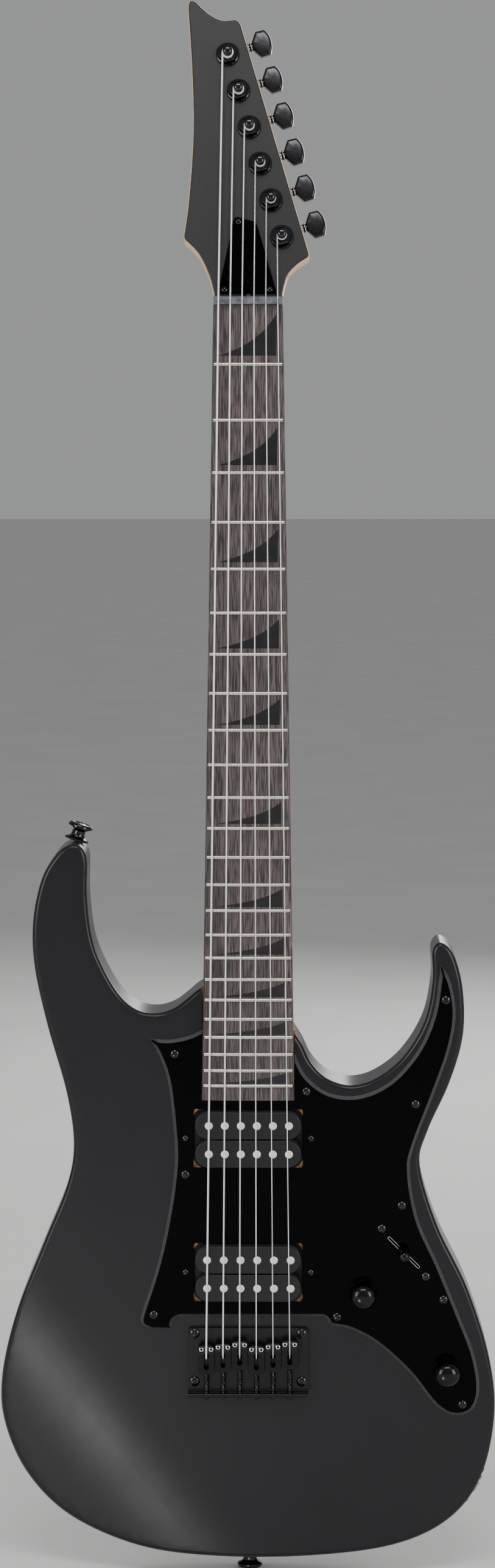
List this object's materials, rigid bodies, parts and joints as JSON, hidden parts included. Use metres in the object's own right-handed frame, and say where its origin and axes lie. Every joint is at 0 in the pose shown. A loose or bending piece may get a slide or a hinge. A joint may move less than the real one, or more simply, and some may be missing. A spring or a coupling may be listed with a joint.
{
  "type": "electric guitar",
  "caption": "Solid-body electric guitar with a bolt-on neck, in-line tuners, twin-coil pickups on a pickguard, fixed bridge and turning controls.",
  "frame": {"origin": "centre line of the neck at the playing edge of the nut, in the plane of the body's front face; the neck hangs there, in the mouth of a wall or stand hanger, under the headstock's flare", "axes": "+Z along the neck towards the headstock, -Y out of the body's front face, +X towards the treble side"},
  "size_m": [0.3128, 0.0799, 0.9913],
  "materials": {
    "body_finish": "satin charcoal paint over solid wood",
    "maple": "satin natural maple, headstock face painted charcoal",
    "fretboard_wood": "oiled dark open-pored wood with nickel frets",
    "nut_plastic": "grey, smooth",
    "gloss_black_plastic": "polished black",
    "matte_black_plastic": "matte black",
    "black_metal": "satin black",
    "black_chrome": "black chrome",
    "steel": "plain steel",
    "string_steel": "bright plated steel"
  },
  "bodies": {
    "root": {"body": "body_finish", "neck": "maple", "fretboard": "fretboard_wood", "nut": "nut_plastic", "truss_rod": "steel", "truss_rod_cover": "gloss_black_plastic", "neck_plate": "black_metal", "pickguard": "gloss_black_plastic", "volume_pot": "steel", "tone_pot": "steel", "switch_body": "steel", "jack_plate": "black_metal", "output_jack": "steel", "bridge_plate": "black_metal", "string_1": "string_steel", "string_2": "string_steel", "string_3": "string_steel", "string_4": "string_steel", "string_5": "string_steel", "string_6": "string_steel", "tuner_housing_1": "black_chrome", "tuner_housing_2": "black_chrome", "tuner_housing_3": "black_chrome", "tuner_housing_4": "black_chrome", "tuner_housing_5": "black_chrome", "tuner_housing_6": "black_chrome", "strap_button_upper": "black_chrome", "strap_button_lower": "black_chrome"},
    "volume_control": {"volume_knob": "black_chrome", "volume_shaft": "steel"},
    "tone_control": {"tone_knob": "black_chrome", "tone_shaft": "steel"},
    "selector": {"switch_lever": "steel", "switch_tip": "gloss_black_plastic"},
    "neck_pickup": {"neck_pickup_base": "steel", "neck_pickup_bobbin_1": "matte_black_plastic", "neck_pickup_bobbin_2": "matte_black_plastic"},
    "bridge_pickup": {"bridge_pickup_base": "steel", "bridge_pickup_bobbin_1": "matte_black_plastic", "bridge_pickup_bobbin_2": "matte_black_plastic"},
    "saddle_block_1": {"saddle_1": "black_metal"},
    "saddle_block_2": {"saddle_2": "black_metal"},
    "saddle_block_3": {"saddle_3": "black_metal"},
    "saddle_block_4": {"saddle_4": "black_metal"},
    "saddle_block_5": {"saddle_5": "black_metal"},
    "saddle_block_6": {"saddle_6": "black_metal"},
    "tuner_key_1": {"tuner_button_1": "black_chrome"},
    "tuner_spool_1": {"tuner_post_1": "black_chrome"},
    "tuner_key_2": {"tuner_button_2": "black_chrome"},
    "tuner_spool_2": {"tuner_post_2": "black_chrome"},
    "tuner_key_3": {"tuner_button_3": "black_chrome"},
    "tuner_spool_3": {"tuner_post_3": "black_chrome"},
    "tuner_key_4": {"tuner_button_4": "black_chrome"},
    "tuner_spool_4": {"tuner_post_4": "black_chrome"},
    "tuner_key_5": {"tuner_button_5": "black_chrome"},
    "tuner_spool_5": {"tuner_post_5": "black_chrome"},
    "tuner_key_6": {"tuner_button_6": "black_chrome"},
    "tuner_spool_6": {"tuner_post_6": "black_chrome"}
  },
  "joints": [
    {"name": "volume_turn", "type": "hinge", "parent": "root", "child": "volume_control", "pos_m": [0.0723, 0, -0.6184], "axis": [0, -1, 0], "range_deg": [0, 300]},
    {"name": "tone_turn", "type": "hinge", "parent": "root", "child": "tone_control", "pos_m": [0.1252, 0, -0.6679], "axis": [0, -1, 0], "range_deg": [0, 300]},
    {"name": "selector_tilt", "type": "hinge", "parent": "root", "child": "selector", "pos_m": [0.0979, 0.02, -0.5926], "axis": [0.7071, 0, 0.7071], "range_deg": [-24, 24]},
    {"name": "neck_pickup_height", "type": "slide", "parent": "root", "child": "neck_pickup", "axis": [0, -1, 0], "range_m": [-0.0025, 0.0025]},
    {"name": "bridge_pickup_height", "type": "slide", "parent": "root", "child": "bridge_pickup", "axis": [0, -1, 0], "range_m": [-0.0025, 0.0025]},
    {"name": "saddle_1_length", "type": "slide", "parent": "root", "child": "saddle_block_1", "axis": [0, 0, 1], "range_m": [-0.0025, 0.0025]},
    {"name": "saddle_2_length", "type": "slide", "parent": "root", "child": "saddle_block_2", "axis": [0, 0, 1], "range_m": [-0.0025, 0.0025]},
    {"name": "saddle_3_length", "type": "slide", "parent": "root", "child": "saddle_block_3", "axis": [0, 0, 1], "range_m": [-0.0025, 0.0025]},
    {"name": "saddle_4_length", "type": "slide", "parent": "root", "child": "saddle_block_4", "axis": [0, 0, 1], "range_m": [-0.0025, 0.0025]},
    {"name": "saddle_5_length", "type": "slide", "parent": "root", "child": "saddle_block_5", "axis": [0, 0, 1], "range_m": [-0.0025, 0.0025]},
    {"name": "saddle_6_length", "type": "slide", "parent": "root", "child": "saddle_block_6", "axis": [0, 0, 1], "range_m": [-0.0025, 0.0025]},
    {"name": "tuner_1_key", "type": "hinge", "parent": "root", "child": "tuner_key_1", "pos_m": [-0.01497, 0.05201, 0.15761], "axis": [0.9601, 0.0581, 0.2735], "continuous": true},
    {"name": "tuner_1_post", "type": "hinge", "parent": "root", "child": "tuner_spool_1", "pos_m": [-0.0131, 0.02935, 0.15585], "axis": [0, -0.9781, 0.2079], "continuous": true},
    {"name": "tuner_2_key", "type": "hinge", "parent": "root", "child": "tuner_key_2", "pos_m": [-0.00821, 0.04718, 0.13488], "axis": [0.9601, 0.0581, 0.2735], "continuous": true},
    {"name": "tuner_2_post", "type": "hinge", "parent": "root", "child": "tuner_spool_2", "pos_m": [-0.00633, 0.02452, 0.13312], "axis": [0, -0.9781, 0.2079], "continuous": true},
    {"name": "tuner_3_key", "type": "hinge", "parent": "root", "child": "tuner_key_3", "pos_m": [-0.00144, 0.04235, 0.11216], "axis": [0.9601, 0.0581, 0.2735], "continuous": true},
    {"name": "tuner_3_post", "type": "hinge", "parent": "root", "child": "tuner_spool_3", "pos_m": [0.00043, 0.01969, 0.1104], "axis": [0, -0.9781, 0.2079], "continuous": true},
    {"name": "tuner_4_key", "type": "hinge", "parent": "root", "child": "tuner_key_4", "pos_m": [0.00532, 0.03752, 0.08943], "axis": [0.9601, 0.0581, 0.2735], "continuous": true},
    {"name": "tuner_4_post", "type": "hinge", "parent": "root", "child": "tuner_spool_4", "pos_m": [0.0072, 0.01486, 0.08767], "axis": [0, -0.9781, 0.2079], "continuous": true},
    {"name": "tuner_5_key", "type": "hinge", "parent": "root", "child": "tuner_key_5", "pos_m": [0.01209, 0.03269, 0.0667], "axis": [0.9601, 0.0581, 0.2735], "continuous": true},
    {"name": "tuner_5_post", "type": "hinge", "parent": "root", "child": "tuner_spool_5", "pos_m": [0.01396, 0.01003, 0.06494], "axis": [0, -0.9781, 0.2079], "continuous": true},
    {"name": "tuner_6_key", "type": "hinge", "parent": "root", "child": "tuner_key_6", "pos_m": [0.01886, 0.02786, 0.04398], "axis": [0.9601, 0.0581, 0.2735], "continuous": true},
    {"name": "tuner_6_post", "type": "hinge", "parent": "root", "child": "tuner_spool_6", "pos_m": [0.02073, 0.0052, 0.04222], "axis": [0, -0.9781, 0.2079], "continuous": true}
  ],
  "couplings": [
    {"joint": "tuner_1_post", "follows": "tuner_1_key", "ratio": 0.071429},
    {"joint": "tuner_2_post", "follows": "tuner_2_key", "ratio": 0.071429},
    {"joint": "tuner_3_post", "follows": "tuner_3_key", "ratio": 0.071429},
    {"joint": "tuner_4_post", "follows": "tuner_4_key", "ratio": 0.071429},
    {"joint": "tuner_5_post", "follows": "tuner_5_key", "ratio": 0.071429},
    {"joint": "tuner_6_post", "follows": "tuner_6_key", "ratio": 0.071429}
  ]
}
